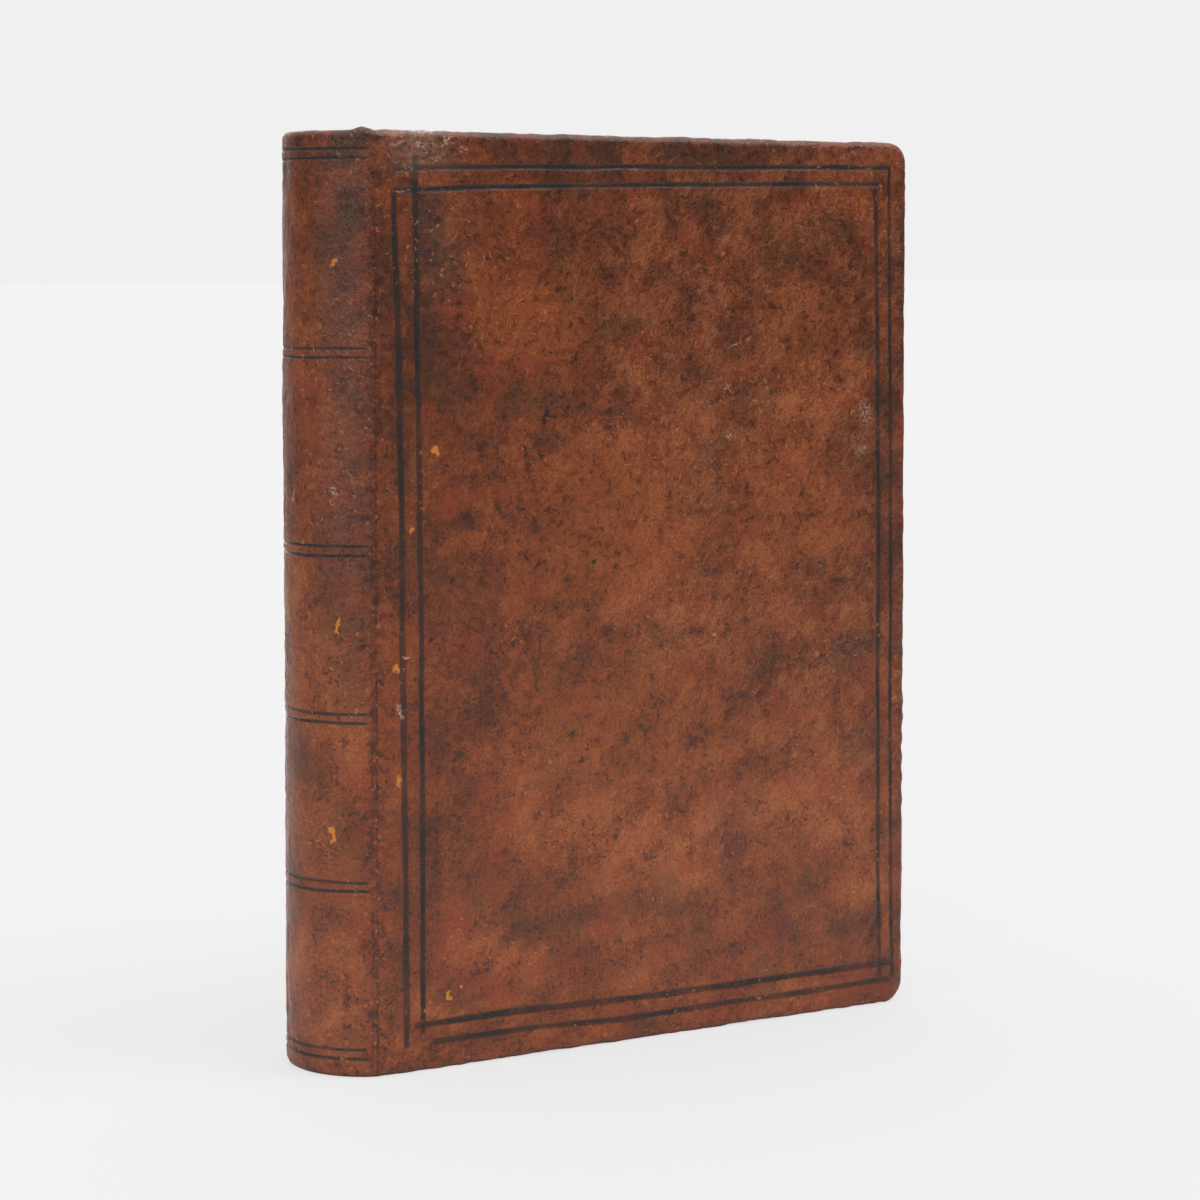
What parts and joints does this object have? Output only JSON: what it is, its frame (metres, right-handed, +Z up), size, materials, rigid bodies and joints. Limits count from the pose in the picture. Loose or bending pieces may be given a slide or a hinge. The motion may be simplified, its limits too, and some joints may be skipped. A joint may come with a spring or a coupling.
{
  "type": "antique leather book",
  "caption": "Upright leather-bound book with a smooth rounded spine, double blackened border lines and two covers that swing open.",
  "frame": {"origin": "centre of the closed book's footprint, on the surface that its tail edge stands on", "axes": "+Z up from tail to head, +X from spine to fore-edge, -Y out of the front cover"},
  "size_m": [0.15, 0.033, 0.2],
  "materials": {
    "calf": "aged red-brown calf, mottled, satin",
    "line_black": "black tooled into the calf, matt",
    "pasteboard": "grey-brown pasteboard, matt",
    "endpaper": "aged laid paper, matt",
    "leaves": "cut edges of aged leaves, matt",
    "lining_paper": "glue-stained lining paper, matt",
    "hemp_cord": "hemp cord, matt",
    "linen_thread": "linen thread, matt",
    "band_thread": "endband thread, matt",
    "band_core": "endband core, matt"
  },
  "bodies": {
    "book_block": {"text_block": "leaves", "front_flyleaf": "endpaper", "back_flyleaf": "endpaper", "spine_lining": "lining_paper", "sewing_support_1": "hemp_cord", "sewing_support_2": "hemp_cord", "sewing_support_3": "hemp_cord", "sewing_support_4": "hemp_cord", "sewing_thread": "linen_thread", "head_endband_core": "band_core", "head_endband_thread": "band_thread", "tail_endband_core": "band_core", "tail_endband_thread": "band_thread", "spine_leather": "calf", "spine_tooled_lines": "line_black"},
    "front_cover": {"front_board": "pasteboard", "front_cover_leather": "calf", "front_pastedown": "endpaper", "front_lacing_slips": "hemp_cord", "front_tooled_lines": "line_black"},
    "back_cover": {"back_board": "pasteboard", "back_cover_leather": "calf", "back_pastedown": "endpaper", "back_lacing_slips": "hemp_cord", "back_tooled_lines": "line_black"}
  },
  "joints": [
    {"name": "front_cover_hinge", "type": "hinge", "parent": "book_block", "child": "front_cover", "pos_m": [-0.0638, -0.0165, 0], "axis": [0, 0, -1], "range_deg": [0, 180]},
    {"name": "back_cover_hinge", "type": "hinge", "parent": "book_block", "child": "back_cover", "pos_m": [-0.0638, 0.0165, 0], "axis": [0, 0, 1], "range_deg": [0, 180]}
  ]
}
